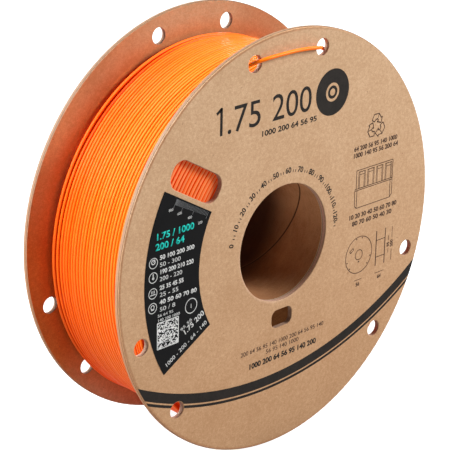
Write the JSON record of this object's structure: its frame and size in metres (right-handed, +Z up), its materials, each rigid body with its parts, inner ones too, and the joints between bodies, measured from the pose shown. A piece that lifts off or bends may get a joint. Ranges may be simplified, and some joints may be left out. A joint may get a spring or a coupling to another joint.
{
  "type": "filament spool",
  "caption": "Cardboard spool full of printer filament: laminated flanges glued to paper tubes, with a level window, drive slot, tuck holes, a label and the filament's free end.",
  "frame": {"origin": "on the bore's axis, halfway between the two flanges' outer faces", "axes": "+Y along the bore from the labelled front flange to the rear one; +Z up, from the drive slot's side to the side of the tuck holes that hold the free end; +X to the right seen from the front"},
  "size_m": [0.2, 0.067, 0.2],
  "materials": {
    "kraft_liner": "matte",
    "greyboard": "matte",
    "tube_ply": "matte",
    "tube_board": "matte",
    "dried_glue": "satin",
    "filament": "gloss",
    "label_film": "satin",
    "printing_ink": "matte"
  },
  "bodies": {
    "root": {"front_outer_liner": "kraft_liner", "front_core_board": "greyboard", "front_inner_liner": "kraft_liner", "rear_inner_liner": "kraft_liner", "rear_core_board": "greyboard", "rear_outer_liner": "kraft_liner", "bore_lining_ply": "tube_ply", "bore_tube": "tube_board", "hub_tube": "tube_board", "hub_cover_ply": "tube_ply", "front_bore_glue": "dried_glue", "rear_bore_glue": "dried_glue", "front_hub_glue": "dried_glue", "rear_hub_glue": "dried_glue", "filament_inner_layers": "filament", "filament_outer_turns": "filament", "filament_loose_end": "filament", "info_label": "label_film"}
  },
  "joints": []
}
